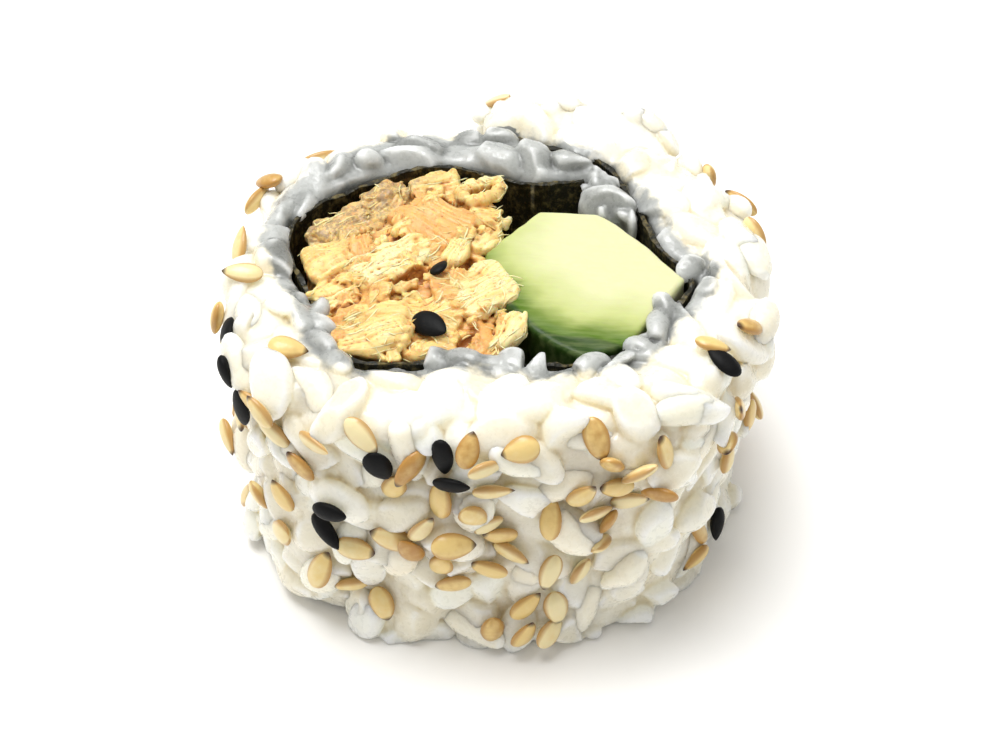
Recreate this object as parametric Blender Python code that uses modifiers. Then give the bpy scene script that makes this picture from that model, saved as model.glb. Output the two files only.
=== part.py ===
"""Uramaki roll: one piece of inside-out sushi, standing on its cut end.

Four solids run through the piece from cut to cut: a band of rice that winds a little
more than once round, the sheet of nori on the inside of that band, and a baton of
cucumber and a block of flaked cooked salmon in the middle.

Metres, +Z up. The origin is in the middle of the cut face that the piece stands on,
+X runs from the salmon to the cucumber, and +Y to where the band's outer end lies.
"""

import math

import bmesh
import bpy
from mathutils import Vector, noise

MM = 0.001

# Driving sizes
ROLL_HEIGHT = 24.0 * MM  # one eighth of a roll made on a 190 mm wide sheet
NORI_THICKNESS = 0.35 * MM
GAP = 0.3 * MM  # left between solids that touch in the real roll
WINDING_CENTRE = Vector((-0.059, -1.463, 0.0)) * MM  # the spiral's centre, from the origin

# The nori from its inner end, over the filling, round, and over the first lap of rice,
# as (degrees round the winding centre, millimetres from it)
NORI_ROUTE = (
    (58, 12.0), (66, 10.6), (75, 10.0), (90, 10.5), (105, 11.5), (125, 13.2), (146, 14.8),
    (161, 16.3), (173, 16.7), (182, 16.0), (193, 15.0), (204, 14.8), (216, 15.4), (226, 15.5),
    (240, 12.9), (255, 11.4), (270, 11.1), (286, 11.3), (300, 12.3), (312, 13.6), (325, 13.9),
    (340, 14.1), (350, 14.8), (356, 15.0), (362, 14.1), (370, 12.8), (381, 12.5), (392, 12.9),
    (403, 13.5), (415, 14.5), (427, 14.8), (438, 14.6), (446, 15.3), (454, 16.3),
)  # fmt: skip

# The outside of the rice, first along the lap that the outer end lies on, then round it
RICE_OUTLINE = (
    (94, 15.6), (103, 17.0), (120, 18.7), (136, 19.8), (150, 20.5), (165, 20.3), (180, 20.5),
    (200, 21.5), (215, 22.0), (230, 21.8), (250, 20.0), (270, 19.1), (290, 20.0), (308, 21.6),
    (320, 22.0), (335, 21.7), (355, 21.4), (375, 20.6), (390, 20.5), (405, 21.2), (425, 22.3),
    (440, 22.6), (450, 21.5), (455, 20.0),
)  # fmt: skip

# The inside of the rice where it starts, between the cucumber and the outer lap of nori
RICE_START = ((22, 11.3), (30, 11.1), (38, 10.6), (46, 10.0), (52, 11.0), (57, 12.7))

# The block of salmon, round a centre of its own
SALMON_CENTRE = Vector((-6.2, 0.0, 0.0)) * MM  # from the winding centre
SALMON_OUTLINE = (
    (0, 4.9), (14, 5.5), (26, 7.1), (38, 8.1), (51, 9.6), (60, 10.9), (72, 11.0), (90, 10.6),
    (110, 9.8), (135, 8.7), (157, 9.2), (173, 9.8), (183, 9.3), (196, 8.3), (214, 8.2),
    (228, 9.6), (240, 10.5), (252, 10.5), (270, 10.5), (290, 11.0), (305, 12.3), (315, 12.2),
    (323, 9.4), (333, 6.6), (347, 5.25), (360, 4.9),
)  # fmt: skip

# The cucumber: a wedge under its skin, which is part of a circle
CUCUMBER_CENTRE = Vector((12.15, 1.87)) * MM  # the cucumber's axis, from the winding centre
CUCUMBER_RADIUS = 13.0 * MM
SKIN_FROM_DEG, SKIN_TO_DEG = 184.0, 246.0
WEDGE_CORNERS = ((10.1, -8.6), (14.3, -1.2), (8.9, 5.0), (7.4, 6.0), (3.0, 6.0))

# The side by the cucumber is drawn in below its top edge, and the other by half as much
PINCH = 2.0 * MM
PINCH_DEG = 350.0

# Steps along each shape
WINDING_STEP_DEG = 4.0
RICE_LEVELS = (0.0, 0.05, 0.16, 0.28, 0.4, 0.52, 0.64, 0.76, 0.87, 0.95, 1.0)  # of the height
RICE_ACROSS = 3
SALMON_LEVELS = (0.0, 0.2, 0.4, 0.6, 0.8, 0.96)
SALMON_RINGS = 6
SKIN_STEP_DEG = 5.0


def on_curve(waypoints, angle):
    """The value at an angle on the smooth curve through (angle, value) waypoints."""
    last = len(waypoints) - 2
    here = next((i for i in range(last) if angle < waypoints[i + 1][0]), last)

    def slope(i):
        before = waypoints[max(i - 1, 0)]
        after = waypoints[min(i + 1, len(waypoints) - 1)]
        return (after[1] - before[1]) / (after[0] - before[0])

    (a0, v0), (a1, v1) = waypoints[here], waypoints[here + 1]
    span = a1 - a0
    t = min(max((angle - a0) / span, 0.0), 1.0)
    from_start = v0 + slope(here) * span * t
    from_end = v1 - slope(here + 1) * span * (1 - t)
    ease = t * t * (3 - 2 * t)
    return from_start + (from_end - from_start) * ease


def polar(degrees, radius):
    turn = math.radians(degrees)
    return Vector((math.cos(turn), math.sin(turn), 0.0)) * radius


def nori_point(angle, outwards=0.0):
    """A point on the nori's middle line, or that far outside it."""
    here = polar(angle, on_curve(NORI_ROUTE, angle) * MM)
    if not outwards:
        return here
    ahead = nori_point(angle + 1) - nori_point(angle - 1)
    return here + Vector((ahead.y, -ahead.x, 0.0)).normalized() * outwards


def steps_between(start, end, step):
    count = max(1, round((end - start) / step))
    return [start + (end - start) * i / count for i in range(count + 1)]


def lump(point, size, height):
    """How far a surface of that grain size stands out at a point."""
    return noise.noise(point / size) * height


def rice_inside(angle):
    """The rice's inner wall: against the nori, and before that against the cucumber."""
    clear = NORI_THICKNESS / 2 + GAP
    nori_from = NORI_ROUTE[0][0] + 2
    if angle < nori_from:
        return polar(angle, on_curve(RICE_START, angle) * MM)
    return nori_point(angle, clear)


def rice_outside(angle):
    """The rice's outer wall: the roll's outside, or the nori that lies on the first lap."""
    covered_to = NORI_ROUTE[-1][0] - 360
    if angle < covered_to:
        return nori_point(angle + 360, -NORI_THICKNESS / 2 - GAP)
    return polar(angle, on_curve(RICE_OUTLINE, angle) * MM)


def pinch(angle, level):
    """How far the two sides are drawn in, at an angle and a share of the height."""
    towards = math.cos(math.radians(angle - PINCH_DEG))
    below = min(1.0, max(0.0, 0.9 - level) / 0.35)
    depth = PINCH if towards > 0 else PINCH / 2
    return depth * towards**2 * below * below * (3 - 2 * below)


def rice_point(angle, across, level):
    """A point of the band: across is 0 at the nori and 1 outside, level 0 at the floor."""
    inner, outer = rice_inside(angle), rice_outside(angle)
    covered_to = NORI_ROUTE[-1][0] - 360
    open_air = min(max((angle - covered_to) / 12.0, 0.0), 1.0)
    shoulder = 1.2 * MM * max(0.0, level - 0.93) / 0.07
    foot = 0.6 * MM * max(0.0, 0.05 - level) / 0.05
    place = Vector((outer.x, outer.y, level * ROLL_HEIGHT))
    bulge = lump(place, 4.0 * MM, 1.3 * MM) - shoulder - foot - pinch(angle, level)
    outer = outer + outer.normalized() * bulge * open_air
    flat = inner.lerp(outer, across)
    crown = math.sin(math.pi * across) * 0.5 * MM - 0.3 * MM * (1 - across) ** 2
    uneven = lump(flat, 3.5 * MM, 0.5 * MM)
    top = ROLL_HEIGHT + crown + uneven
    return Vector((flat.x, flat.y, top if level == 1.0 else level * ROLL_HEIGHT))


def salmon_radius(angle, level):
    outside = polar(angle, on_curve(SALMON_OUTLINE, angle) * MM)
    place = Vector((outside.x, outside.y, level * ROLL_HEIGHT))
    return outside.length - 0.15 * MM + lump(place, 3.0 * MM, 0.3 * MM)


def salmon_top(place, share):
    """The height of the flakes, which drops at the edge."""
    edge = 0.9 * MM * share**4
    return ROLL_HEIGHT + 0.2 * MM - edge + lump(place, 3.2 * MM, 1.0 * MM)


def new_object(name, mesh, collection, material):
    """The mesh as an object whose origin is the winding centre."""
    part = bpy.data.objects.new(name, mesh)
    part.location = WINDING_CENTRE
    part.data.materials.append(material)
    collection.objects.link(part)
    return part


def new_material(name, colour, roughness):
    material = bpy.data.materials.new(name)
    material.use_nodes = True
    shader = material.node_tree.nodes["Principled BSDF"]
    shader.inputs["Base Color"].default_value = (*colour, 1.0)
    shader.inputs["Roughness"].default_value = roughness
    shader.inputs["Metallic"].default_value = 0.0
    return material


def mesh_of(name, form):
    """A bmesh made into a mesh with its faces turned out and its sharp edges kept."""
    bmesh.ops.recalc_face_normals(form, faces=form.faces)
    mesh = bpy.data.meshes.new(name)
    form.to_mesh(mesh)
    form.free()
    mesh.shade_smooth()
    mesh.set_sharp_from_angle(angle=math.radians(50))
    return mesh


def band_mesh(name, angles, across, levels, point):
    """A closed band, gridded on its six sides, from point(angle, across, level)."""
    form = bmesh.new()
    size = (len(angles), len(across), len(levels))
    made = {}

    def corner(*index):
        if index not in made:
            i, j, k = index
            made[index] = form.verts.new(point(angles[i], across[j], levels[k]))
        return made[index]

    for fixed in range(3):
        one, two = (axis for axis in range(3) if axis != fixed)
        for end in (0, size[fixed] - 1):
            for i in range(size[one] - 1):
                for j in range(size[two] - 1):
                    ring = []
                    for step_one, step_two in ((0, 0), (1, 0), (1, 1), (0, 1)):
                        index = [end] * 3
                        index[one], index[two] = i + step_one, j + step_two
                        ring.append(corner(*index))
                    form.faces.new(ring)
    return mesh_of(name, form)


def make_rice(collection):
    angles = steps_between(RICE_START[0][0], RICE_OUTLINE[-1][0], WINDING_STEP_DEG)
    across = steps_between(0.0, 1.0, 1.0 / RICE_ACROSS)
    mesh = band_mesh("rice", angles, across, RICE_LEVELS, rice_point)
    white = new_material("rice", (0.90, 0.88, 0.80), 0.45)
    return new_object("rice", mesh, collection, white)


def make_nori(collection):
    """An open sheet along the route, with a wavy cut edge, made solid."""
    angles = steps_between(NORI_ROUTE[0][0], NORI_ROUTE[-1][0], WINDING_STEP_DEG / 2)
    form = bmesh.new()
    rows = []
    for angle in angles:
        place = nori_point(angle)
        edge = 0.25 * MM * math.sin(math.radians(angle * 7))
        low, high = GAP, ROLL_HEIGHT - 0.45 * MM + edge
        heights = (low, (low + high) / 2, high)
        rows.append([form.verts.new((place.x, place.y, z)) for z in heights])
    for before, after in zip(rows, rows[1:]):
        for k in range(2):
            form.faces.new((before[k], after[k], after[k + 1], before[k + 1]))
    mesh = mesh_of("nori", form)
    black = new_material("nori", (0.012, 0.014, 0.008), 0.5)
    nori = new_object("nori", mesh, collection, black)
    solid = nori.modifiers.new("thickness", "SOLIDIFY")
    solid.thickness = NORI_THICKNESS
    solid.offset = 0.0
    return nori


def make_salmon(collection):
    """Stacked rings for the sides, and shrinking rings for the flaky top."""
    angles = steps_between(0.0, 360.0, 8.0)[:-1]
    form = bmesh.new()

    def ring(heights, share, level):
        found = []
        for angle, z in zip(angles, heights):
            place = SALMON_CENTRE + polar(angle, salmon_radius(angle, level) * share)
            found.append(form.verts.new((place.x, place.y, z)))
        return found

    def bridge(lower, upper):
        for i in range(len(lower)):
            j = (i + 1) % len(lower)
            form.faces.new((lower[i], lower[j], upper[j], upper[i]))

    rings = [ring([ROLL_HEIGHT * k] * len(angles), 1.0, k) for k in SALMON_LEVELS]
    top_level = SALMON_LEVELS[-1]
    for step in range(SALMON_RINGS):
        share = 1.0 - (step + 0.15) / SALMON_RINGS
        heights = []
        for angle in angles:
            place = polar(angle, salmon_radius(angle, top_level) * share)
            heights.append(salmon_top(SALMON_CENTRE + place, share))
        rings.append(ring(heights, share, top_level))
    for lower, upper in zip(rings, rings[1:]):
        bridge(lower, upper)
    form.faces.new(rings[0])
    form.faces.new(rings[-1])
    mesh = mesh_of("salmon", form)
    peach = new_material("salmon", (0.86, 0.62, 0.34), 0.55)
    return new_object("salmon", mesh, collection, peach)


def make_cucumber(collection):
    """The wedge's outline as a flat curve, given its height and a slightly rounded edge."""
    skin = []
    for angle in steps_between(SKIN_FROM_DEG, SKIN_TO_DEG, SKIN_STEP_DEG):
        place = polar(angle, CUCUMBER_RADIUS)
        skin.append((CUCUMBER_CENTRE.x + place.x, CUCUMBER_CENTRE.y + place.y))
    outline = skin + [(x * MM, y * MM) for x, y in WEDGE_CORNERS]
    flat = bpy.data.curves.new("cucumber_outline", "CURVE")
    flat.dimensions = "2D"
    flat.fill_mode = "BOTH"
    flat.extrude = ROLL_HEIGHT / 2
    spline = flat.splines.new("POLY")
    spline.points.add(len(outline) - 1)
    for point, (x, y) in zip(spline.points, outline):
        point.co = (x, y, 0.0, 1.0)
    spline.use_cyclic_u = True
    green = new_material("cucumber", (0.72, 0.80, 0.36), 0.3)
    drawn = new_object("cucumber_curve", flat, collection, green)
    drawn.location.z = ROLL_HEIGHT / 2
    bpy.context.view_layer.update()
    graph = bpy.context.evaluated_depsgraph_get()
    mesh = bpy.data.meshes.new_from_object(drawn.evaluated_get(graph))
    form = bmesh.new()
    form.from_mesh(mesh)
    bmesh.ops.remove_doubles(form, verts=form.verts, dist=0.01 * MM)
    form.to_mesh(mesh)
    form.free()
    place = drawn.matrix_world.copy()
    bpy.data.objects.remove(drawn)
    cucumber = bpy.data.objects.new("cucumber", mesh)
    cucumber.matrix_world = place
    collection.objects.link(cucumber)
    rounded = cucumber.modifiers.new("rounded_cut", "BEVEL")
    rounded.width = 0.25 * MM
    rounded.segments = 2
    rounded.limit_method = "ANGLE"
    rounded.angle_limit = math.radians(40)
    return cucumber


def main():
    for old in list(bpy.data.objects):
        bpy.data.objects.remove(old)
    collection = bpy.data.collections.new("uramaki_roll")
    bpy.context.scene.collection.children.link(collection)
    make_rice(collection)
    make_nori(collection)
    make_salmon(collection)
    make_cucumber(collection)


main()
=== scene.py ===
"""Looks of the uramaki roll: rice grains, seeds, flaked salmon, nori and cucumber.

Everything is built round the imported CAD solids. Shapes are worked out in millimetres on
grids of distances, whose zero level becomes the mesh, and are scaled to metres at the end.
"""

import math

import bpy
import numpy as np
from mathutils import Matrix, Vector
from mathutils.bvhtree import BVHTree


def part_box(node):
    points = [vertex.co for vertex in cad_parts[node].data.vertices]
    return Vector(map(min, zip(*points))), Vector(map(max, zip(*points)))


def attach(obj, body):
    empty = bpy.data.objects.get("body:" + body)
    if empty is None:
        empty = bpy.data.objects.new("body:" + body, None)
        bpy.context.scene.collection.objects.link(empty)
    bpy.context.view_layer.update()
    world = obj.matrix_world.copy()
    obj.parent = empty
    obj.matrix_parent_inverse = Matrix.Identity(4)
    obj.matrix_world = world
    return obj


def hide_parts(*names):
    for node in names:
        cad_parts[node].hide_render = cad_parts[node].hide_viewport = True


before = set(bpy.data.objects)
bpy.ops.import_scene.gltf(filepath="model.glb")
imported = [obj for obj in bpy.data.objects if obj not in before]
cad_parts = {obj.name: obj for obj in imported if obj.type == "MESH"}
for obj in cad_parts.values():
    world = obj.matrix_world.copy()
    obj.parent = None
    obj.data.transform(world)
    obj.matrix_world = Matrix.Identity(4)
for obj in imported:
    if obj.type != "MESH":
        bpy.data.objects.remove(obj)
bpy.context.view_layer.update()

MM = 0.001
AXES = np.eye(3, dtype=int)

# Rice
RICE_STEP = 0.2  # grid step, mm
RICE_SEED = 11
RICE_TRIANGLES = 190000
GRAIN_LENGTH = (5.0, 6.6)
GRAIN_WIDTH = (2.7, 3.6)
GRAIN_SPACING = 2.15

# Where the knife went through the rice it looks grey: a strip this wide along the nori, in mm,
# round the roll in degrees, and all of the first lap, which ends at this distance from the axis
CUT_WIDTH = (
    (0, 1.9), (20, 1.2), (45, 0.4), (85, 0.2), (95, 3.4), (120, 4.2), (150, 3.2), (175, 1.9),
    (225, 1.7), (270, 1.5), (330, 1.7), (360, 1.9),
)  # fmt: skip
LAP = ((14, 0.0), (16, 11.9), (43, 12.5), (67, 13.4), (90, 13.9), (93, 14.0), (94, 0.0))

LOOSE_GRAINS = 75
# Cut grains lean over the edge of the nori all along the front, between these angles in degrees
CUT_FRONT = (203, 358)
# More cut grains, as (x, y, turn in degrees): where the lap ends and where the pocket ends
CUT_CHIPS = ((4.9, 14.3, 20), (7.4, 13.0, -40), (8.7, 6.3, 30), (7.2, 7.4, -60), (9.8, 5.0, -40), (7.9, 8.6, 10))

# Salmon
SALMON_STEP = 0.13
SALMON_SEED = 23
FIBRE = 0.55  # the usual width of a fibre, mm
SHREDS = 300
EDGE_SHREDS = 45
SALMON_TRIANGLES = 195000
# The flakes that show most, as (x, y, how far they stand up, the way their fibres run in degrees,
# length, width, warmth of colour, how much the fibres spread per millimetre)
MAIN_FLAKES = (
    (-8.2, -1.9, 0.40, 33, 7.0, 3.5, 0.0, 0.0), (-6.8, -3.9, -0.7, 32, 4.4, 2.0, 1.1, 0.0),
    (-5.6, 2.9, 0.25, -34, 7.0, 5.2, 0.95, 0.09), (-1.2, -4.7, 0.35, 44, 6.4, 5.4, 0.05, 0.0),
    (-9.2, -9.2, 0.20, 14, 6.4, 5.4, 0.3, 0.0), (1.2, -9.2, 0.40, 57, 4.4, 2.2, 0.1, 0.0),
    (-13.0, -1.8, 0.05, 30, 5.2, 4.0, 0.35, 0.0), (-11.3, 3.5, 0.0, 51, 8.4, 3.6, 0.5, 0.0),
    (-5.0, -7.2, 0.05, 22, 6.0, 3.6, 0.35, 0.0), (-4.2, -10.3, 0.0, 6, 6.6, 3.0, 0.6, 0.0),
    (-12.2, -5.4, 0.05, 40, 4.8, 3.8, 0.25, 0.0), (-5.6, 7.2, 0.05, 24, 5.0, 3.0, 0.3, 0.0),
    (-1.2, 1.2, -0.15, 62, 3.8, 2.4, 0.2, 0.0), (-3.3, -0.7, -0.2, 66, 3.2, 2.0, 0.05, 0.0),
    (-1.9, 3.6, -0.1, 10, 4.0, 2.6, 0.45, 0.0),
)  # fmt: skip
# Rolled-up curls of flesh, as (x, y, how far they stand up, radius, thickness)
CURLS = ((-1.9, 6.2, 0.45, 1.3, 0.6), (-7.6, -6.2, -0.1, 0.7, 0.4), (-11.0, 0.6, 0.1, 0.8, 0.4))
# Deep places in it, as (x, y, size, the way they run in degrees); they are also painted darker as shade
PITS = (
    (-1.9, -10.2, 0.75, 60), (0.8, -7.2, 0.7, 50), (-3.8, 4.6, 0.8, -30), (-6.3, -3.6, 1.1, 32),
    (-11.6, -7.0, 0.6, 20), (-9.4, 1.2, 0.6, 40), (-2.4, -1.9, 0.6, 80), (-7.4, 5.0, 0.55, 70),
)  # fmt: skip

# Cucumber
CUCUMBER_AXIS = (12.1, 0.4)
CUCUMBER_RADIUS = 13.0
CUCUMBER_STEP = 0.16

# Sesame, as (angle round the roll in degrees, height in millimetres); black ones with a turn too
SEED_SIZE = (3.2, 1.95, 1.0)
SEED_SEED = 5
BLACK_FRONT = (
    (206, 22.6, 80), (213, 22.0, 160), (217, 19.6, 175), (249, 20.4, 155), (262, 21.6, 175),
    (264, 19.4, 78), (241, 15.6, 80), (238, 11.6, 118), (324, 23.4, 30), (334, 2.6, 190),
)  # fmt: skip
TAN_FRONT = (
    (220, 24), (221, 21), (226, 22.5), (226, 19.5), (237, 21.5), (245, 22.5), (251, 18), (255, 20.5),
    (267, 22.5), (270, 21.5), (261, 17), (268, 16.5), (233, 18), (228, 13.5), (219, 10), (226, 8.5),
    (244, 11), (250, 12.5), (257, 14.5), (255, 12), (261, 10.5), (264, 13.5), (263, 8), (236, 7),
    (240, 5.5), (248, 4), (271, 14.5), (277, 22.8), (293, 22.6), (296, 20.8), (300, 20), (305, 21),
    (290, 17.6), (297, 17.8), (304, 17.4), (293, 15.6), (301, 15.2), (295, 13.8), (294, 11.8), (284, 15),
    (273, 13), (276, 11.2), (270, 10), (283, 9.5), (290, 8.2), (279, 5.6), (285, 5.2), (271, 3),
    (278, 3), (284, 2.8), (271, 19), (325, 24), (336, 23.4), (324, 20.5), (321, 18.5), (330, 12.6),
    (323, 5.6), (321, 3.4), (11, 22.8), (94, 24), (181, 23.6), (193, 23.8), (144, 24), (208, 15),
)  # fmt: skip

# The camera stands where the photographer held it: this far from the cut face
VIEW_DISTANCE = 197.0
VIEW_ELEVATION = 41.8
VIEW_AZIMUTH = 3.1
FLOOR = 8000.0  # half its side, mm


# ---------------------------------------------------------------- grids of distances


def cad_mesh(node):
    """A CAD node's corners in millimetres and its faces."""
    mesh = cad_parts[node].data
    corners = np.empty(len(mesh.vertices) * 3)
    mesh.vertices.foreach_get("co", corners)
    return corners.reshape(-1, 3) / MM, [tuple(face.vertices) for face in mesh.polygons]


def cad_tree(node):
    corners, faces = cad_mesh(node)
    return BVHTree.FromPolygons(corners.tolist(), faces)


def grid_axes(low, high, step):
    return [np.arange(a, b + step, step) for a, b in zip(low, high)]


def signed_distance(node, axes):
    """The distance to a CAD node's surface at each grid point, negative inside it."""
    tree = cad_tree(node)
    field = np.empty([len(axis) for axis in axes], np.float32)
    up = Vector((0, 0, 1))
    for i, x in enumerate(axes[0]):
        for j, y in enumerate(axes[1]):
            crossings = []
            start = Vector((x + 1e-4, y + 1e-4, axes[2][0] - 5))
            while True:
                hit = tree.ray_cast(start, up)[0]
                if hit is None:
                    break
                crossings.append(hit.z)
                start = hit + up * 1e-3
            below = np.searchsorted(crossings, axes[2])
            for k, z in enumerate(axes[2]):
                distance = tree.find_nearest((x, y, z))[3]
                field[i, j, k] = -distance if below[k] % 2 else distance
    return field


def resample(field, coarse, fine, eased=False):
    """A field on one grid read at the points of another, one axis after another."""
    for axis in range(3):
        place = np.interp(fine[axis], coarse[axis], np.arange(len(coarse[axis])))
        low = np.minimum(place.astype(int), len(coarse[axis]) - 2)
        share = (place - low).astype(np.float32)
        if eased:
            share = share * share * (3 - 2 * share)
        shape = [1, 1, 1]
        shape[axis] = -1
        share = share.reshape(shape)
        field = np.take(field, low, axis) * (1 - share) + np.take(field, low + 1, axis) * share
    return field


def grid_noise(axes, size, seed):
    """Smooth noise from -1 to 1 over a grid, with lumps of that size."""
    rng = np.random.default_rng(seed)
    coarse = [np.arange(axis[0] - size, axis[-1] + 2 * size, size) for axis in axes]
    field = rng.uniform(-1, 1, [len(axis) for axis in coarse]).astype(np.float32)
    return resample(field, coarse, axes, eased=True)


def smooth_min(a, b, blend):
    share = np.clip(0.5 + 0.5 * (b - a) / blend, 0, 1)
    return b + (a - b) * share - blend * share * (1 - share)


def smooth_max(a, b, blend):
    return -smooth_min(-a, -b, blend)


def skin_of(field, axes):
    """The zero level of a field as points and quads that face out (surface nets)."""
    inside = field < 0
    size = np.array(field.shape) - 1
    filled = np.zeros(size, np.int8)
    for corner in np.ndindex(2, 2, 2):
        part = tuple(slice(c, c + n) for c, n in zip(corner, size))
        filled += inside[part]
    cells = np.argwhere((filled > 0) & (filled < 8))
    number = np.full(size, -1, np.int64)
    number[tuple(cells.T)] = np.arange(len(cells))
    place = np.zeros((len(cells), 3))
    count = np.zeros(len(cells))
    for axis in range(3):
        for offset in np.ndindex(2, 2, 2):
            if offset[axis]:
                continue
            start = cells + offset
            value_a = field[tuple(start.T)]
            value_b = field[tuple((start + AXES[axis]).T)]
            crosses = (value_a < 0) != (value_b < 0)
            share = value_a[crosses] / (value_a[crosses] - value_b[crosses])
            place[crosses] += np.array(offset) + share[:, None] * AXES[axis]
            count[crosses] += 1
    place = cells + place / count[:, None]
    points = np.stack([np.interp(place[:, a], np.arange(len(axes[a])), axes[a]) for a in range(3)], 1)
    quads = []
    for axis in range(3):
        one, two = AXES[(axis + 1) % 3], AXES[(axis + 2) % 3]
        ahead = np.roll(inside, -1, axis)
        changed = inside != ahead
        edge = np.argwhere(changed)
        edge = edge[(edge[:, axis] < size[axis]) & (edge[:, (axis + 1) % 3] > 0) & (edge[:, (axis + 2) % 3] > 0)]
        edge = edge[(edge[:, (axis + 1) % 3] < size[(axis + 1) % 3]) & (edge[:, (axis + 2) % 3] < size[(axis + 2) % 3])]
        ring = np.stack([number[tuple((edge - s).T)] for s in (one + two, two, 0 * one, one)], 1)
        outwards = inside[tuple(edge.T)]
        ring[~outwards] = ring[~outwards][:, ::-1]
        quads.append(ring)
    return points, np.concatenate(quads)


def biggest_part(points, quads):
    """The largest connected part of a mesh, without crumbs that float free of it."""
    label = np.arange(len(points))
    changed = True
    while changed:
        before = label.copy()
        np.minimum.at(label, quads.ravel(), np.repeat(label[quads].min(1), 4))
        label = label[label]
        changed = (label != before).any()
    names, sizes = np.unique(label, return_counts=True)
    keep = label == names[sizes.argmax()]
    number = np.cumsum(keep) - 1
    return points[keep], number[quads[keep[quads[:, 0]]]]


def hollows(field, axes, points, strides=(1, 2)):
    """How far each point of a skin lies in a hollow: above zero there, below it on a bump. Materials paint shade in the
    hollows by it, and the rice paints highlights on the bumps.
    """
    smooth = field
    for axis in range(3):
        for stride in strides:
            smooth = (np.roll(smooth, stride, axis) + np.roll(smooth, -stride, axis) + 2 * smooth) / 4
    return -sample(smooth, axes, points)


def new_mesh(name, points, faces, material):
    """An object from points in millimetres and faces of one size, in metres and smooth."""
    faces = np.asarray(faces)
    mesh = bpy.data.meshes.new(name)
    mesh.vertices.add(len(points))
    mesh.vertices.foreach_set("co", (np.asarray(points) * MM).astype(np.float32).ravel())
    mesh.loops.add(faces.size)
    mesh.loops.foreach_set("vertex_index", faces.astype(np.int32).ravel())
    mesh.polygons.add(len(faces))
    mesh.polygons.foreach_set("loop_start", np.arange(0, faces.size, faces.shape[1], dtype=np.int32))
    mesh.update(calc_edges=True)
    mesh.shade_smooth()
    mesh.materials.append(material)
    piece = bpy.data.objects.new(name, mesh)
    bpy.context.scene.collection.objects.link(piece)
    return piece


def add_values(piece, name, values):
    """A number for each corner of the mesh, which its material reads by name."""
    attribute = piece.data.attributes.new(name, "FLOAT", "POINT")
    attribute.data.foreach_set("value", np.asarray(values, np.float32))


# ---------------------------------------------------------------- materials


class Nodes:
    """A material's node tree, with short ways to add nodes and join them."""

    def __init__(self, name):
        self.material = bpy.data.materials.new(name)
        self.material.use_nodes = True
        self.tree = self.material.node_tree
        self.shader = self.tree.nodes["Principled BSDF"]

    def add(self, kind, **settings):
        node = self.tree.nodes.new("ShaderNode" + kind)
        for key, value in settings.items():
            setattr(node, key, value)
        return node

    def join(self, source, target):
        self.tree.links.new(source, target)

    def put(self, socket, value):
        """A link or a plain value into a socket."""
        if isinstance(value, bpy.types.NodeSocket):
            self.join(value, socket)
        else:
            socket.default_value = (*value, 1) if socket.type == "RGBA" else value

    def attribute(self, name):
        return self.add("Attribute", attribute_name=name).outputs["Fac"]

    def place(self):
        return self.add("TexCoord").outputs["Object"]

    def maths(self, operation, *values):
        node = self.add("Math", operation=operation)
        for socket, value in zip(node.inputs, values):
            self.put(socket, value)
        return node.outputs[0]

    def ease(self, value, low, high, to_low=0.0, to_high=1.0):
        node = self.add("MapRange", interpolation_type="SMOOTHSTEP")
        for socket, item in zip(node.inputs, (value, low, high, to_low, to_high)):
            self.put(socket, item)
        return node.outputs[0]

    def noise(self, size, detail=2.0, stretch=(1, 1, 1), roughness=0.5):
        """Noise from 0 to 1 with lumps of a size in metres, longer along an axis if stretched."""
        mapping = self.add("Mapping")
        mapping.inputs["Scale"].default_value = [1 / (size * along) for along in stretch]
        self.join(self.place(), mapping.inputs["Vector"])
        node = self.add("TexNoise")
        node.inputs["Scale"].default_value = 1.0
        node.inputs["Detail"].default_value = detail
        node.inputs["Roughness"].default_value = roughness
        self.join(mapping.outputs[0], node.inputs["Vector"])
        return node.outputs["Fac"]

    def streaks(self, along, across, length, width):
        """Noise from 0 to 1 drawn out along a mesh's own fibres, whose two coordinates it carries."""
        vector = self.add("CombineXYZ")
        self.join(self.maths("DIVIDE", self.attribute(along), length), vector.inputs["X"])
        self.join(self.maths("DIVIDE", self.attribute(across), width), vector.inputs["Y"])
        node = self.add("TexNoise")
        node.inputs["Scale"].default_value = 1.0
        self.join(vector.outputs[0], node.inputs["Vector"])
        return node.outputs["Fac"]

    def blend(self, share, first, second, way="MIX"):
        node = self.add("Mix", data_type="RGBA", blend_type=way)
        self.put(node.inputs["Factor"], share)
        self.put(node.inputs["A"], first)
        self.put(node.inputs["B"], second)
        return node.outputs["Result"]

    def bump(self, height, distance, strength=1.0, under=None):
        node = self.add("Bump")
        node.inputs["Strength"].default_value = strength
        node.inputs["Distance"].default_value = distance
        self.join(height, node.inputs["Height"])
        if under is not None:
            self.join(under, node.inputs["Normal"])
        return node.outputs["Normal"]

    def finish(self, **inputs):
        """Sets the shader's sockets, named with _ for a blank, and gives the material."""
        for name, value in inputs.items():
            self.put(self.shader.inputs[name.replace("_", " ")], value)
        return self.material


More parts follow.
